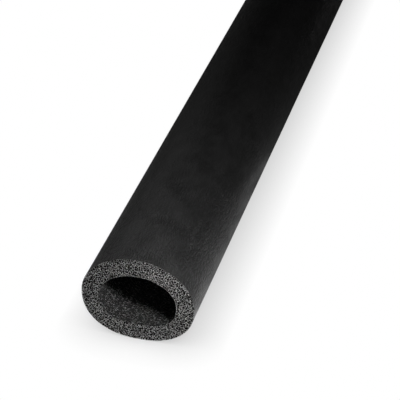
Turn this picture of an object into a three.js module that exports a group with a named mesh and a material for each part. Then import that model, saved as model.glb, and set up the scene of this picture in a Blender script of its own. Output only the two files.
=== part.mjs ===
import * as THREE from 'three';

// One straight length of pipe insulation lagging: a thick-walled tube of black closed-cell rubber foam,
// extruded and cut off in one piece, with no slit. It is soft, so it isn't round as it lies. It has
// settled into an oval, wider than it is high, and its lower half is flattened onto the floor.
// Unloaded it is a round tube with a 48 mm bore and a 13 mm wall.
//
// Millimetres. +Z is up and the tube runs along Y, with its near cut face towards -Y.
// The origin is on the floor, under the middle of the tube's length.

// Driving dimensions
const length = 1000;
const boreWidth = 54.5;
const boreHeight = 40;
const sideWall = 13;
const topWall = 14;
const bottomWall = 13;

// How square the lower half of each outline is: 2 is an ellipse, and more lies flatter on the floor.
// The upper halves are plain ellipses.
const outerFlatness = 2.25;
const boreFlatness = 2.6;

// Straight sides that each outline is made of
const outlineSides = 144;

const foamColour = 0x232323;
const foamRoughness = 0.85;

// The distance from an oval's centre to its outline, in the direction (cosine, sine). The oval's two
// halves share their half width and half height, and differ in the exponent.
function ovalRadius(oval, cosine, sine) {
  const exponent = sine < 0 ? oval.flatness : 2;
  const across = (Math.abs(cosine) / oval.halfWidth) ** exponent;
  const upward = (Math.abs(sine) / oval.halfHeight) ** exponent;
  return (across + upward) ** (-1 / exponent);
}

// The outline of an oval as points about the section's vertical axis, with a point at its lowest place
function ovalPoints(oval) {
  const points = [];
  for (let i = 0; i < outlineSides; i += 1) {
    const angle = (2 * Math.PI * i) / outlineSides - Math.PI / 2;
    const cosine = Math.cos(angle);
    const sine = Math.sin(angle);
    const radius = ovalRadius(oval, cosine, sine);
    points.push(new THREE.Vector2(radius * cosine, oval.centreHeight + radius * sine));
  }
  return points;
}

const bore = {
  halfWidth: boreWidth / 2,
  halfHeight: boreHeight / 2,
  centreHeight: bottomWall + boreHeight / 2,
  flatness: boreFlatness,
};

const outerHeight = bottomWall + boreHeight + topWall;
const outer = {
  halfWidth: bore.halfWidth + sideWall,
  halfHeight: outerHeight / 2,
  centreHeight: outerHeight / 2,
  flatness: outerFlatness,
};

// The tube: its section, drawn in X and Z, extruded over its length along Y
function foamTube() {
  const section = new THREE.Shape(ovalPoints(outer));
  section.holes.push(new THREE.Path(ovalPoints(bore)));
  const geometry = new THREE.ExtrudeGeometry(section, { depth: length, bevelEnabled: false });
  const material = new THREE.MeshStandardMaterial({
    color: foamColour,
    roughness: foamRoughness,
    metalness: 0,
  });
  const tube = new THREE.Mesh(geometry, material);
  tube.name = 'insulation_tube';
  // A quarter turn about X stands the section up, with its extrusion towards -Y.
  tube.rotation.x = Math.PI / 2;
  tube.position.y = length / 2;
  return tube;
}

const lagging = new THREE.Group();
lagging.add(foamTube());

export default lagging;
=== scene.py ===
import math

import bpy
import numpy as np
from mathutils import Matrix, Vector, noise
from mathutils.geometry import delaunay_2d_cdt
from mathutils.kdtree import KDTree


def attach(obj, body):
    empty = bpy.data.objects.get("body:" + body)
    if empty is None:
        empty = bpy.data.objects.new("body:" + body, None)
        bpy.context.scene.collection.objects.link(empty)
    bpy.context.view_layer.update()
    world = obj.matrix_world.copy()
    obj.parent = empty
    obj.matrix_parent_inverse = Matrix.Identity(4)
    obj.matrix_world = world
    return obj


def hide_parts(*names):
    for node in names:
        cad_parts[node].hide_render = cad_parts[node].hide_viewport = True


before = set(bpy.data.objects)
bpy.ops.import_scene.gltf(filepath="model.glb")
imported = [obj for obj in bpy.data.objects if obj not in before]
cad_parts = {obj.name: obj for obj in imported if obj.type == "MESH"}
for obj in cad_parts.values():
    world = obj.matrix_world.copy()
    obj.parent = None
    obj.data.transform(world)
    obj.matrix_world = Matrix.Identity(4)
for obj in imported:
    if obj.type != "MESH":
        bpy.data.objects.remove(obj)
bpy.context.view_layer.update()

# Pipe insulation lagging: one length of black closed-cell foam rubber tube, lying on the floor.
# The tube is one closed mesh with a moulded skin outside, a rougher skin in its bore, and a cut face
# at each end, where about twelve hundred cells of the foam lie open.
#
# Metres. +Z is up, the tube runs along Y, and the near face is towards -Y.

MM = 0.001

# The tube's section, as in the CAD: an ellipse above its widest line, and squarer below it
LENGTH = 1000 * MM
BORE_WIDTH = 54.5 * MM
BORE_HEIGHT = 40 * MM
SIDE_WALL = 13 * MM
TOP_WALL = 14 * MM
BOTTOM_WALL = 13 * MM
OUTER_FLATNESS = 2.25
BORE_FLATNESS = 2.6
OUTER_HEIGHT = BOTTOM_WALL + BORE_HEIGHT + TOP_WALL

# The two ends, as the side of the middle that each is on
NEAR, FAR = -1, 1

# How finely the long surfaces are divided
OUTER_SIDES = 168
BORE_SIDES = 120
RINGS = 56
OUTLINE_STEPS = 2880  # for measuring an outline

# The cut edges
EDGE_ROUNDING = 0.25 * MM
SHARP_ANGLE = math.radians(42)  # edges that turn by more than this aren't shaded smooth

# The skin's slow waves, which only go inwards so that the tube keeps its size
WAVE_DEPTH = 0.16 * MM
WAVE_LENGTH = 60 * MM
WAVE_FADE = 12 * MM  # over this distance from each end the waves die out

# The foam's cells: (radius in mm, how many places are tried)
CELL_SIZES = ((0.98, 600), (0.80, 1400), (0.62, 5000), (0.50, 12000), (0.40, 24000))
CELL_VARIATION = (0.9, 1.1)  # of that radius
CELL_SPACING = 0.94  # of the sum of two cells' radii
CELL_MARGIN = 0.6  # of a cell's radius, from its middle to the skin
CELL_WALL = 0.15 * MM
SKIN_THICKNESS = 0.42 * MM
BORE_SKIN_THICKNESS = 0.34 * MM
CELL_NEIGHBOURS = 24
CELL_ROUNDNESS = 7.0  # low is round, high has sharp corners
RIM_STEP = 0.38 * MM
RIM_POINTS = (7, 13)  # the fewest and the most round one cell
RIM_UNEVENNESS = 0.05 * MM
PIT_DEPTH = (0.9, 2.2)  # of the cell's radius
WAIST_WIDTH = 0.88  # of the rim's width, at a ring between the rim and the bottom
WAIST_DEPTH = 0.60  # of the pit's depth
SEED = 41

# For the triangles of the cut faces, which are found in millimetres
WHOLE_HULL = 0
MERGE_DISTANCE = 1e-6

# The mesh's three materials
SKIN, FOAM, BORE_SKIN = range(3)

# The cell tone of the skins, where it isn't used
PLAIN_TONE = 0.5

# Where each surface lies on the flat map: left, bottom, width and height, as shares of a square
SKIN_PATCH = (0.005, 0.005, 0.990, 0.375)
BORE_PATCH = (0.005, 0.390, 0.990, 0.185)
NEAR_FACE_PATCH = (0.005, 0.585, 0.490, 0.408)
FAR_FACE_PATCH = (0.505, 0.585, 0.490, 0.408)
MAP_GATHERING = 4  # higher gives more of the map to the tube's ends


class Oval:
    """One outline of the section. Its upper half is an ellipse, and its lower half is squarer."""

    def __init__(self, width, height, bottom, flatness):
        self.half_width = width / 2
        self.half_height = height / 2
        self.centre = np.array((0.0, bottom + height / 2))
        self.flatness = flatness

    def radius(self, angle):
        """From the centre to the outline, at an angle from +X towards +Z."""
        power = np.where(np.sin(angle) < 0, self.flatness, 2.0)
        across = np.abs(np.cos(angle)) / self.half_width
        up = np.abs(np.sin(angle)) / self.half_height
        return (across**power + up**power) ** (-1 / power)

    def points(self, count, inset=0.0):
        """Evenly spaced points on the outline, anticlockwise from its lowest one, moved in by inset."""
        fine = np.linspace(-0.5 * np.pi, 1.5 * np.pi, OUTLINE_STEPS + 1)
        radius = self.radius(fine)
        place = np.stack((radius * np.cos(fine), radius * np.sin(fine)), axis=1)
        steps = np.hypot(*np.diff(place, axis=0).T)
        walked = np.concatenate(([0.0], np.cumsum(steps)))
        angle = np.interp(np.arange(count) / count * walked[-1], walked, fine)
        radius = self.radius(angle) - inset
        return self.centre + np.stack((radius * np.cos(angle), radius * np.sin(angle)), axis=1)

    def holds(self, place):
        """Which of these places are inside the outline."""
        apart = place - self.centre
        angle = np.arctan2(apart[:, 1], apart[:, 0])
        return np.hypot(*apart.T) < self.radius(angle)


BORE = Oval(BORE_WIDTH, BORE_HEIGHT, BOTTOM_WALL, BORE_FLATNESS)
OUTER = Oval(BORE_WIDTH + 2 * SIDE_WALL, OUTER_HEIGHT, 0.0, OUTER_FLATNESS)


class Builder:
    """Collects the vertices and faces of one closed mesh."""

    def __init__(self):
        self.places = []
        self.depths = []
        self.tones = []
        self.faces = []
        self.materials = []

    def add_points(self, places, depth_mm=0.0, tone=PLAIN_TONE):
        """Adds vertices at one depth in a pit, of one tone, and returns their numbers."""
        first = len(self.places)
        self.places.extend(map(tuple, places))
        count = len(self.places) - first
        self.depths.extend([depth_mm] * count)
        self.tones.extend([tone] * count)
        return np.arange(first, first + count)

    def add_faces(self, faces, material):
        """Adds faces, each a row of vertex numbers."""
        self.faces.extend([int(v) for v in face] for face in faces)
        self.materials.extend([material] * len(faces))

    def add_band(self, ring, next_ring, material, inwards):
        """Joins two rings of vertices by quads, which face the tube's outside or its bore."""
        quads = np.stack((ring, next_ring, np.roll(next_ring, -1), np.roll(ring, -1)), axis=1)
        self.add_faces(quads[:, ::-1] if inwards else quads, material)

    def mesh(self, name, materials):
        """The finished mesh, with each vertex's pit depth and cell tone."""
        mesh = bpy.data.meshes.new(name)
        mesh.from_pydata(self.places, [], self.faces)
        for material in materials:
            mesh.materials.append(material)
        mesh.polygons.foreach_set("material_index", self.materials)
        mesh.polygons.foreach_set("use_smooth", np.ones(len(self.faces), bool))
        for attribute, values in (("pit_depth", self.depths), ("cell_tone", self.tones)):
            layer = mesh.attributes.new(attribute, "FLOAT", "POINT")
            layer.data.foreach_set("value", np.array(values, np.float32))
        mesh.validate()
        mesh.update()
        return mesh


def raised(section, y):
    """Section points (x, z) as places at y."""
    return np.stack((section[:, 0], np.full(len(section), y), section[:, 1]), axis=1)


def wave(x, y, z):
    """How far the skin has sunk at a place."""
    height = noise.noise(Vector((x, y, z)) / WAVE_LENGTH)
    fade = min(1.0, (LENGTH / 2 - abs(y)) / WAVE_FADE)
    return WAVE_DEPTH * (0.5 + 0.5 * height) * fade


def long_surface(build, oval, sides, end_rings, material, inwards):
    """The skin or the bore wall, from the near face's ring to the far face's."""
    outline = oval.points(sides)
    apart = outline - oval.centre
    outward = apart / np.hypot(*apart.T)[:, None]
    sink = -1 if inwards else 1
    ring = end_rings[0]
    inner = LENGTH / 2 - EDGE_ROUNDING
    for y in np.linspace(-inner, inner, RINGS + 1):
        places = raised(outline, y)
        sunk = np.array([wave(*place) for place in places]) * sink
        places[:, [0, 2]] -= outward * sunk[:, None]
        next_ring = build.add_points(places)
        build.add_band(ring, next_ring, material, inwards)
        ring = next_ring
    build.add_band(ring, end_rings[1], material, inwards)


def search_tree(points):
    """Section points, ready to be searched for the nearest."""
    tree = KDTree(len(points))
    for i, point in enumerate(points):
        tree.insert((*point, 0), i)
    tree.balance()
    return tree


def gap_to(tree, middle):
    """How far a section point is from the nearest one in a tree."""
    return tree.find((*middle, 0))[2]


def scatter_cells(edges, random):
    """The middles and radii of the cells that a cut opens. Big ones come first, and small ones fill in."""
    corner = np.array((OUTER.half_width, OUTER.half_height))
    middles = np.zeros((0, 2))
    radii = np.zeros(0)
    for radius_mm, tries in CELL_SIZES:
        tried = random.uniform(OUTER.centre - corner, OUTER.centre + corner, (tries, 2))
        tried = tried[OUTER.holds(tried) & ~BORE.holds(tried)]
        for middle in tried:
            radius = radius_mm * MM * random.uniform(*CELL_VARIATION)
            margin = CELL_MARGIN * radius
            if any(gap_to(edge, middle) < skin + margin for edge, skin in edges):
                continue
            gaps = np.hypot(*(middles - middle).T)
            if (gaps < CELL_SPACING * (radii + radius)).any():
                continue
            middles = np.vstack((middles, middle))
            radii = np.append(radii, radius)
    return middles, radii


def cell_walls(i, middles, radii, cells, edges):
    """(direction, distance) of each wall round cell i. A wall stands nearer to the smaller cell."""
    middle = middles[i]
    walls = []
    for _, j, gap in cells.find_n((*middle, 0), CELL_NEIGHBOURS + 1):
        if j != i:
            apart = middles[j] - middle
            share = (gap**2 + radii[i] ** 2 - radii[j] ** 2) / (2 * gap)
            walls.append((math.atan2(apart[1], apart[0]), share - CELL_WALL / 2))
    for edge, skin in edges:
        point, _, gap = edge.find((*middle, 0))
        direction = math.atan2(point[1] - middle[1], point[0] - middle[0])
        walls.append((direction, gap - skin))
    return np.array(walls)


def rim_of(walls, radius, random):
    """The opened cell's rim round its middle: a rounded polygon just inside its walls."""
    count = int(np.clip(round(2 * math.pi * radius / RIM_STEP), *RIM_POINTS))
    angle = (np.arange(count) + random.uniform()) * 2 * math.pi / count
    facing = np.cos(angle[:, None] - walls[:, 0])
    reach = np.clip(facing, 0, None) / walls[:, 1]
    distance = (reach**CELL_ROUNDNESS).sum(axis=1) ** (-1 / CELL_ROUNDNESS)
    return np.stack((distance * np.cos(angle), distance * np.sin(angle)), axis=1)


def add_pit(build, end, middle, rim, radius, random):
    """Adds one opened cell's vertices. Returns its rim's numbers, and its faces as on the near end."""
    depth = radius * random.uniform(*PIT_DEPTH)
    tone = random.uniform()
    uneven = random.uniform(0, RIM_UNEVENNESS, len(rim))
    face_y = end * LENGTH / 2
    rings = []
    for share, sunk in ((1.0, 0.0), (WAIST_WIDTH, WAIST_DEPTH * depth)):
        places = raised(middle + rim * share, face_y)
        places[:, 1] -= end * (sunk + uneven)
        rings.append(build.add_points(places, sunk / MM, tone))
    lowest = (middle[0], face_y - end * depth, middle[1])
    bottom = build.add_points([lowest], depth / MM, tone)[0]
    upper, lower = rings
    faces = []
    for k in range(len(rim)):
        after = (k + 1) % len(rim)
        faces.append((upper[k], upper[after], lower[after]))
        faces.append((upper[k], lower[after], lower[k]))
        faces.append((lower[k], lower[after], bottom))
    return upper, faces


class Land:
    """What is left flat on a cut face, between its outer edge, its bore's edge and the cells' rims."""

    def __init__(self):
        self.points = []
        self.numbers = []
        self.loop_of = []
        self.lines = []

    def add_loop(self, points, numbers):
        """Adds a closed loop and its vertices' numbers. The first is the outer edge, the others holes."""
        first = len(self.points)
        count = len(points)
        loop = self.loop_of[-1] + 1 if self.loop_of else 0
        self.points.extend(points)
        self.numbers.extend(numbers)
        self.loop_of.extend([loop] * count)
        self.lines.extend((first + k, first + (k + 1) % count) for k in range(count))

    def triangles(self):
        """Triangles that join the loops, as rows of vertex numbers."""
        scaled = [Vector(point) / MM for point in self.points]
        found = delaunay_2d_cdt(scaled, self.lines, [], WHOLE_HULL, MERGE_DISTANCE)
        _, _, triangles, origins, _, _ = found
        kept = []
        for triangle in triangles:
            corners = [origins[v][0] for v in triangle]
            loops = {self.loop_of[v] for v in corners}
            in_a_hole = len(loops) == 1 and loops != {0}
            if not in_a_hole:
                kept.append([self.numbers[v] for v in corners])
        return kept


def cut_face(build, end, outer_loop, outer_ring, bore_loop, bore_ring, random):
    """One cut end, from the loops of its two edges, as section points and as vertices."""
    edges = (
        (search_tree(OUTER.points(OUTLINE_STEPS)), SKIN_THICKNESS),
        (search_tree(BORE.points(OUTLINE_STEPS)), BORE_SKIN_THICKNESS),
    )
    middles, radii = scatter_cells(edges, random)
    cells = search_tree(middles)
    land = Land()
    land.add_loop(outer_loop, outer_ring)
    land.add_loop(bore_loop, bore_ring)
    faces = []
    for i, middle in enumerate(middles):
        walls = cell_walls(i, middles, radii, cells, edges)
        rim = rim_of(walls, radii[i], random)
        rim_ring, pit_faces = add_pit(build, end, middle, rim, radii[i], random)
        faces += pit_faces
        land.add_loop(middle + rim, rim_ring)
    faces += land.triangles()
    if end == FAR:
        faces = [face[::-1] for face in faces]
    build.add_faces(faces, FOAM)


def share_of_length(y):
    """Where y falls along the map, from 0 to 1. The tube's ends get more of it than its middle."""
    out = abs(y) / (LENGTH / 2)
    return 0.5 + math.copysign((out + out**MAP_GATHERING) / 4, y)


def unrolled(corners, oval, inwards):
    """A face of the skin or the bore wall, unrolled: (share of the length, share of a turn)."""
    turns = []
    for corner in corners:
        angle = math.atan2(corner.z - oval.centre[1], corner.x)
        turns.append((angle / (2 * math.pi) + 0.25) % 1)  # 0 is the lowest point
    if max(turns) - min(turns) > 0.5:  # the face that closes the ring
        turns = [turn if turn > 0.5 else turn + 1 for turn in turns]
    along = [share_of_length(corner.y) for corner in corners]
    return [(1 - share if inwards else share, turn) for share, turn in zip(along, turns)]


def laid_flat(corners):
    """A face of a cut end, as seen from in front of it."""
    side = 1 if corners[0].y < 0 else -1
    return [(side * corner.x / (2 * OUTER.half_width) + 0.5, corner.z / OUTER_HEIGHT) for corner in corners]


def add_map(mesh):
    """Lays every surface out on one square. The cut faces are much enlarged, to keep their cells clear."""
    layer = mesh.uv_layers.new(name="OFBake")
    for face in mesh.polygons:
        corners = [mesh.vertices[v].co for v in face.vertices]
        if face.material_index == SKIN:
            patch, places = SKIN_PATCH, unrolled(corners, OUTER, inwards=False)
        elif face.material_index == BORE_SKIN:
            patch, places = BORE_PATCH, unrolled(corners, BORE, inwards=True)
        else:
            patch = NEAR_FACE_PATCH if corners[0].y < 0 else FAR_FACE_PATCH
            places = laid_flat(corners)
        left, bottom, width, height = patch
        for loop, (across, up) in zip(face.loop_indices, places):
            layer.uv[loop].vector = (left + across * width, bottom + up * height)


def make_tube(materials):
    """The whole tube as one closed mesh."""
    random = np.random.default_rng(SEED)
    build = Builder()
    outer_loop = OUTER.points(OUTER_SIDES, EDGE_ROUNDING)
    bore_loop = BORE.points(BORE_SIDES, -EDGE_ROUNDING)
    outer_rings = [build.add_points(raised(outer_loop, end * LENGTH / 2)) for end in (NEAR, FAR)]
    bore_rings = [build.add_points(raised(bore_loop, end * LENGTH / 2)) for end in (NEAR, FAR)]
    long_surface(build, OUTER, OUTER_SIDES, outer_rings, SKIN, inwards=False)
    long_surface(build, BORE, BORE_SIDES, bore_rings, BORE_SKIN, inwards=True)
    for end, outer_ring, bore_ring in zip((NEAR, FAR), outer_rings, bore_rings):
        cut_face(build, end, outer_loop, outer_ring, bore_loop, bore_ring, random)
    mesh = build.mesh("foam_tube", materials)
    mesh.set_sharp_from_angle(angle=SHARP_ANGLE)
    add_map(mesh)
    tube = bpy.data.objects.new("foam_tube", mesh)
    bpy.context.collection.objects.link(tube)
    return tube


class Nodes:
    """Short ways to build a material's nodes. Lengths in its textures are in millimetres."""

    # The colour sockets of a mix node share their names with its other sockets, so they go by number
    FIRST_COLOUR, SECOND_COLOUR = 6, 7
    MIXED_COLOUR = 2

    def __init__(self, name):
        self.material = bpy.data.materials.new(name)
        self.material.use_nodes = True
        self.tree = self.material.node_tree
        self.shader = self.tree.nodes["Principled BSDF"]

    def add(self, kind, **settings):
        """A new node with these settings."""
        node = self.tree.nodes.new(kind)
        for setting, value in settings.items():
            setattr(node, setting, value)
        return node

    def put(self, socket, value):
        """Links an output to a socket, or sets the socket to a plain value."""
        if isinstance(value, bpy.types.NodeSocket):
            self.tree.links.new(value, socket)
        else:
            socket.default_value = value

    def set_shader(self, settings):
        """Sets the shader's sockets by name, each to an output or a plain value."""
        for name, value in settings.items():
            self.put(self.shader.inputs[name], value)

    def place(self, stretch=(1, 1, 1)):
        """The place on the object in millimetres. Textures are longer along an axis with less than 1."""
        coordinates = self.add("ShaderNodeTexCoord")
        mapping = self.add("ShaderNodeMapping")
        mapping.inputs["Scale"].default_value = [s / MM for s in stretch]
        self.put(mapping.inputs["Vector"], coordinates.outputs["Object"])
        return mapping.outputs["Vector"]

    def cloud(self, place, size, detail):
        """Smooth noise whose blobs are about size millimetres across, with detail layers of finer ones."""
        node = self.add("ShaderNodeTexNoise")
        self.put(node.inputs["Vector"], place)
        node.inputs["Scale"].default_value = 1 / size
        node.inputs["Detail"].default_value = detail
        return node.outputs["Fac"]

    def warped(self, place, size, amount):
        """A place pushed about by up to amount millimetres, in swirls about size millimetres across."""
        node = self.add("ShaderNodeTexNoise")
        self.put(node.inputs["Vector"], place)
        node.inputs["Scale"].default_value = 1 / size
        push = self.add("ShaderNodeVectorMath", operation="MULTIPLY_ADD")
        self.put(push.inputs[0], node.outputs["Color"])
        push.inputs[1].default_value = [2 * amount] * 3
        self.put(push.inputs[2], place)
        return push.outputs["Vector"]

    def creases(self, place, size, width):
        """1 in the creases between pebbles about size millimetres across, and 0 on the pebbles."""
        node = self.add("ShaderNodeTexVoronoi", feature="DISTANCE_TO_EDGE")
        self.put(node.inputs["Vector"], place)
        node.inputs["Scale"].default_value = 1 / size
        return self.between(node.outputs["Distance"], (0.0, width / size), (1.0, 0.0))

    def distance_along(self, place):
        """How far a place is from the middle of the tube's length, in millimetres."""
        parts = self.add("ShaderNodeSeparateXYZ")
        self.put(parts.inputs["Vector"], place)
        distance = self.add("ShaderNodeMath", operation="ABSOLUTE")
        self.put(distance.inputs[0], parts.outputs["Y"])
        return distance.outputs[0]

    def sum(self, *terms, start=0.0):
        """start, plus each output times its weight. Terms are (output, weight)."""
        total = start
        for value, weight in terms:
            node = self.add("ShaderNodeMath", operation="MULTIPLY_ADD")
            self.put(node.inputs[0], value)
            node.inputs[1].default_value = weight
            self.put(node.inputs[2], total)
            total = node.outputs[0]
        return total

    def times(self, first, second):
        """The product of two numbers."""
        node = self.add("ShaderNodeMath", operation="MULTIPLY")
        self.put(node.inputs[0], first)
        self.put(node.inputs[1], second)
        return node.outputs[0]

    def between(self, value, source, target):
        """Takes a number smoothly from one range to another, and holds it at the ends."""
        node = self.add("ShaderNodeMapRange", interpolation_type="SMOOTHSTEP")
        self.put(node.inputs["Value"], value)
        for name, number in zip(("From Min", "From Max", "To Min", "To Max"), (*source, *target)):
            node.inputs[name].default_value = number
        return node.outputs["Result"]

    def ramp(self, value, *stops):
        """A grey for each value: stops are (position, grey)."""
        node = self.add("ShaderNodeValToRGB")
        self.put(node.inputs["Fac"], value)
        elements = node.color_ramp.elements
        for _ in stops[2:]:
            elements.new(0.5)
        for element, (position, grey) in zip(elements, stops):
            element.position = position
            element.color = (grey, grey, grey, 1)
        return node.outputs["Color"]

    def multiplied(self, first, second):
        """The product of two colours."""
        node = self.add("ShaderNodeMix", data_type="RGBA", blend_type="MULTIPLY")
        node.inputs["Factor"].default_value = 1
        self.put(node.inputs[self.FIRST_COLOUR], first)
        self.put(node.inputs[self.SECOND_COLOUR], second)
        return node.outputs[self.MIXED_COLOUR]

    def attribute(self, name):
        """A number that the mesh carries at each vertex."""
        return self.add("ShaderNodeAttribute", attribute_name=name).outputs["Fac"]

    def bump(self, height, depth_mm):
        """Raises the surface by height, where 1 is depth_mm millimetres."""
        node = self.add("ShaderNodeBump")
        node.inputs["Distance"].default_value = depth_mm * MM
        self.put(node.inputs["Height"], height)
        return node.outputs["Normal"]


# The skin is rougher where hands have held it: from smooth to rough, in mm from the middle of the length
HANDLED_FROM_MM = (340, 485)
HANDLED_LEVELS = (0.25, 1.2)


def skin_material():
    """The moulded outer skin: dull black rubber with a fine leathery grain, and painted shade along its
    creases.
    """
    n = Nodes("black_rubber_skin")
    place = n.place()
    along = n.place(stretch=(1.0, 0.42, 1.0))
    mottle = n.cloud(place, size=16, detail=3)
    patches = n.cloud(along, size=4.5, detail=2)
    grain = n.cloud(along, size=1.5, detail=1)
    creases = n.creases(n.warped(along, size=1.6, amount=0.5), size=2.2, width=0.6)
    handled = n.between(n.distance_along(place), HANDLED_FROM_MM, HANDLED_LEVELS)
    worn = n.times(n.between(n.cloud(place, size=20, detail=2), (0.35, 0.65), (0.4, 1.0)), handled)
    creased = n.times(creases, worn)
    fine = n.times(n.sum((grain, 1.0), start=-0.5), worn)
    # The tone is darker along the creases, more so towards the ends: painted shade, on top of their sunken
    # bump.
    tone = n.sum((mottle, 0.3), (patches, 0.3), (fine, 0.5), (creased, -0.14), start=0.2)
    height = n.sum((fine, 1.0), (creased, -0.35), (patches, 0.3))
    n.set_shader({
        "Base Color": n.ramp(tone, (0.33, 0.012), (0.64, 0.036)),
        "Roughness": n.between(mottle, (0.35, 0.65), (0.44, 0.54)),
        "Specular IOR Level": 0.4,
        "Sheen Weight": 0.06,
        "Sheen Roughness": 0.45,
        "Normal": n.bump(height, depth_mm=1.1),
    })
    return n.material


def foam_material():
    """The cut foam: torn cell walls, pale partly in the foam's own grey and partly as painted highlight,
    round open cells that are darkened with their depth as painted shade.
    """
    n = Nodes("cut_foam")
    place = n.place()
    depth = n.between(n.attribute("pit_depth"), (0.0, 0.3), (0.0, 1.0))
    # The walls' pale grey is partly the cut foam's own and partly painted highlight where the cut edges
    # catch the light.
    walls = n.ramp(n.cloud(place, size=0.75, detail=1), (0.42, 0.06), (0.55, 1.0))
    # Painted shade: the colour darkens to near black with the pit's depth.
    shade = n.ramp(depth, (0.0, 1.0), (0.15, 0.12), (1.0, 0.005))
    cell = n.ramp(n.attribute("cell_tone"), (0.0, 0.5), (1.0, 1.0))
    n.set_shader({
        "Base Color": n.multiplied(n.multiplied(walls, shade), cell),
        "Roughness": 0.8,
        "Specular IOR Level": 0.3,
        "Normal": n.bump(n.cloud(place, size=0.25, detail=2), depth_mm=0.05),
    })
    return n.material


def bore_material():
    """The skin in the bore: rough, with fine streaks that lie across its length, whose tops are painted
    pale as glints.
    """
    n = Nodes("bore_skin")
    # The streaks and their dark tone are the bore skin's own; their pale tops are painted glints.
    streaks_and_glints = n.cloud(n.place(stretch=(0.15, 1.0, 0.15)), size=0.25, detail=0)
    n.set_shader({
        "Base Color": n.ramp(streaks_and_glints, (0.48, 0.011), (0.66, 0.024), (0.77, 0.74)),
        "Roughness": 0.75,
        "Specular IOR Level": 0.3,
        "Normal": n.bump(streaks_and_glints, depth_mm=0.2),
    })
    return n.material


# The camera, from the photograph. Pixels are counted from the top left of its 400 by 400 frame.
PHOTO_MIDDLE_PX = 200
FOCAL_PX = 1600
SENSOR_MM = 36
VANISHING_PX = (746.2, -863.0)  # where the tube's edges meet
FACE_MIDDLE_PX = (137.5, 300.4)
FACE_DISTANCE = 1.086  # along the camera's axis
NEAREST_SEEN = 0.05
FARTHEST_SEEN = 50


def pixel_direction(x, y):
    """The direction of a pixel in the camera's own axes: right, up and backwards."""
    return Vector((x - PHOTO_MIDDLE_PX, PHOTO_MIDDLE_PX - y, -FOCAL_PX)) / FOCAL_PX


def make_camera():
    """A level camera that sees the tube run towards its vanishing point."""
    along = pixel_direction(*VANISHING_PX)
    pitch = math.atan(along.y)
    along.normalize()
    up = Vector((0, math.cos(pitch), math.sin(pitch)))
    side = along.cross(up)
    turn = Matrix((side, along, up))
    face = Vector((0, -LENGTH / 2, OUTER_HEIGHT / 2))
    place = face - turn @ (pixel_direction(*FACE_MIDDLE_PX) * FACE_DISTANCE)
    data = bpy.data.cameras.new("camera")
    data.sensor_width = SENSOR_MM
    data.lens = SENSOR_MM * FOCAL_PX / (2 * PHOTO_MIDDLE_PX)
    data.clip_start = NEAREST_SEEN
    data.clip_end = FARTHEST_SEEN
    camera = bpy.data.objects.new("camera", data)
    camera.matrix_world = Matrix.Translation(place) @ turn.to_4x4()
    bpy.context.collection.objects.link(camera)
    bpy.context.scene.camera = camera


# Each light's name, place, what it is aimed at, size, width of beam in degrees, and watts
LIGHTS = (
    ("key", (0.12, -0.578, 0.173), (0, -0.50, 0.03), 0.028, 80, 0.0575),
    ("top_right", (0.20, -0.35, 0.35), (0, -0.45, 0.03), 0.25, 180, 0.046),
    ("top", (0.10, -0.47, 0.30), (0, -0.47, 0), 0.12, 80, 0.017),
    ("top_left", (-0.15, -0.40, 0.30), (0, -0.42, 0), 0.15, 120, 0.100),
    ("front_fill", (-0.20, -0.90, 0.15), (0, -0.48, 0.03), 0.30, 180, 0.045),
    ("left_fill", (-0.50, 0.30, 0.40), (0, -0.10, 0.03), 0.30, 180, 0.055),
    ("back_fill", (0.20, 0.40, 0.50), (0, -0.20, 0.03), 0.40, 180, 0.020),
    ("right_card", (0.085, -0.34, 0.004), (0, -0.34, 0.10), 0.06, 180, 0.0019),
    ("right_far_card", (0.085, -0.28, 0.004), (0.085, -0.28, 0.10), 0.04, 180, 0.0026),
    ("right_near_card", (0.085, -0.40, 0.004), (0.085, -0.40, 0.10), 0.04, 180, 0.0018),
    ("right_low", (0.30, -0.34, 0.02), (0, -0.35, 0.05), 0.12, 120, 0.096),
    ("far_top", (0, 0.30, 0.40), (0, 0.30, 0), 0.30, 70, 0.060),
    ("far_key", (-0.35, 0.80, 0.43), (0, 0.50, 0.03), 0.08, 45, 0.18),
    ("far_front", (0, 0.75, 0.033), (0, 0.50, 0.033), 0.05, 60, 0.02),
    ("far_left", (-0.60, 0.20, 0.10), (0, 0.20, 0.03), 0.40, 70, 0.08),
    ("far_right", (0.60, 0.27, 0.12), (0, 0.27, 0.03), 0.40, 60, 0.05),
)

# A row of small cards that face up from the floor, close along the tube's right side, and pick out
# its edge: y and watts
RIM_CARDS = (
    (-0.48, 0.0060),
    (-0.44, 0.0012),
    (-0.40, 0.0009),
    (-0.36, 0.0007),
    (-0.32, 0.0006),
    (-0.27, 0.0006),
)
RIM_CARD_X = 0.056
RIM_CARD_Z = 0.003
RIM_CARD_SIZE = 0.024
RIM_CARD_SPREAD = 180


def softbox(name, place, aim, size, spread, watts):
    """A square area light that shines from place towards aim, in a beam spread degrees wide."""
    data = bpy.data.lights.new(name, "AREA")
    data.size = size
    data.spread = math.radians(spread)
    data.energy = watts
    light = bpy.data.objects.new(name, data)
    light.location = place
    light.rotation_euler = (Vector(aim) - Vector(place)).to_track_quat("-Z", "Y").to_euler()
    light.visible_camera = False
    bpy.context.collection.objects.link(light)


def make_lights():
    """The studio's lights, and the row of cards beside the tube."""
    for light in LIGHTS:
        softbox(*light)
    for y, watts in RIM_CARDS:
        place = (RIM_CARD_X, y, RIM_CARD_Z)
        above = (RIM_CARD_X, y, OUTER_HEIGHT)
        softbox("rim_card", place, above, RIM_CARD_SIZE, RIM_CARD_SPREAD, watts)


WORLD_LIGHT = 0.005  # of the white that the background shows


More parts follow.
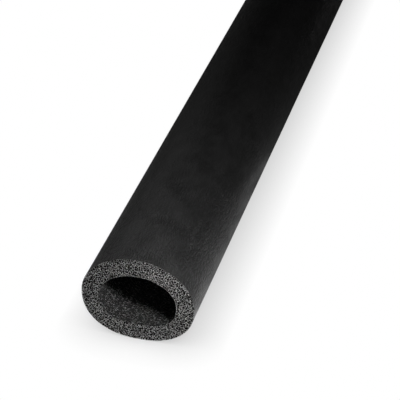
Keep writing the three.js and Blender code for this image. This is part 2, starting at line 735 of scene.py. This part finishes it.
def make_world():
    """Dim even light from all round, in front of a white background."""
    world = bpy.data.worlds.new("studio")
    world.use_nodes = True
    nodes, links = world.node_tree.nodes, world.node_tree.links
    background = nodes["Background"]
    background.inputs["Color"].default_value = (1, 1, 1, 1)
    rays = nodes.new("ShaderNodeLightPath")
    level = nodes.new("ShaderNodeMapRange")
    level.inputs["To Min"].default_value = WORLD_LIGHT
    links.new(rays.outputs["Is Camera Ray"], level.inputs["Value"])
    links.new(level.outputs["Result"], background.inputs["Strength"])
    bpy.context.scene.world = world


FLOOR_REACH = 8  # from the middle to each side
FLOOR_DROP = 0.1 * MM  # keeps the floor just clear of the tube
FLOOR_CORNERS = ((-1, -1), (1, -1), (1, 1), (-1, 1))
CONTACT_REACH = 0.03
CONTACT_SAMPLES = 16
DARKEST_CONTACT = 0.5  # of the white that the open floor shows, where the painted contact shadow is darkest


def floor_material():
    """Pale and matt. Seen directly, it is white where it is open, and greyer close to the tube, where a
    contact shadow is painted.
    """
    n = Nodes("pale_floor")
    n.set_shader({"Base Color": (0.8, 0.8, 0.8, 1), "Roughness": 0.9, "Specular IOR Level": 0.1})
    # Painted contact shadow: the floor's own glow is dimmed where the tube hides it from all round.
    painted_contact_shadow = n.add("ShaderNodeAmbientOcclusion", samples=CONTACT_SAMPLES)
    painted_contact_shadow.inputs["Distance"].default_value = CONTACT_REACH
    level = n.add("ShaderNodeMapRange")
    level.inputs["To Min"].default_value = DARKEST_CONTACT
    n.put(level.inputs["Value"], painted_contact_shadow.outputs["AO"])
    seen = n.add("ShaderNodeEmission")
    n.put(seen.inputs["Strength"], level.outputs["Result"])
    rays = n.add("ShaderNodeLightPath")
    choice = n.add("ShaderNodeMixShader")
    n.put(choice.inputs["Fac"], rays.outputs["Is Camera Ray"])
    n.put(choice.inputs[1], n.shader.outputs["BSDF"])
    n.put(choice.inputs[2], seen.outputs["Emission"])
    n.put(n.tree.nodes["Material Output"].inputs["Surface"], choice.outputs["Shader"])
    return n.material


def make_floor():
    """The floor under the tube."""
    mesh = bpy.data.meshes.new("floor")
    corners = [(x * FLOOR_REACH, y * FLOOR_REACH, -FLOOR_DROP) for x, y in FLOOR_CORNERS]
    mesh.from_pydata(corners, [], [(0, 1, 2, 3)])
    mesh.materials.append(floor_material())
    floor = bpy.data.objects.new("floor", mesh)
    bpy.context.collection.objects.link(floor)


make_camera()
tube = make_tube([skin_material(), foam_material(), bore_material()])
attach(tube, "root")
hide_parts("insulation_tube")

make_floor()
make_world()
make_lights()
bpy.context.scene.view_settings.view_transform = "Standard"
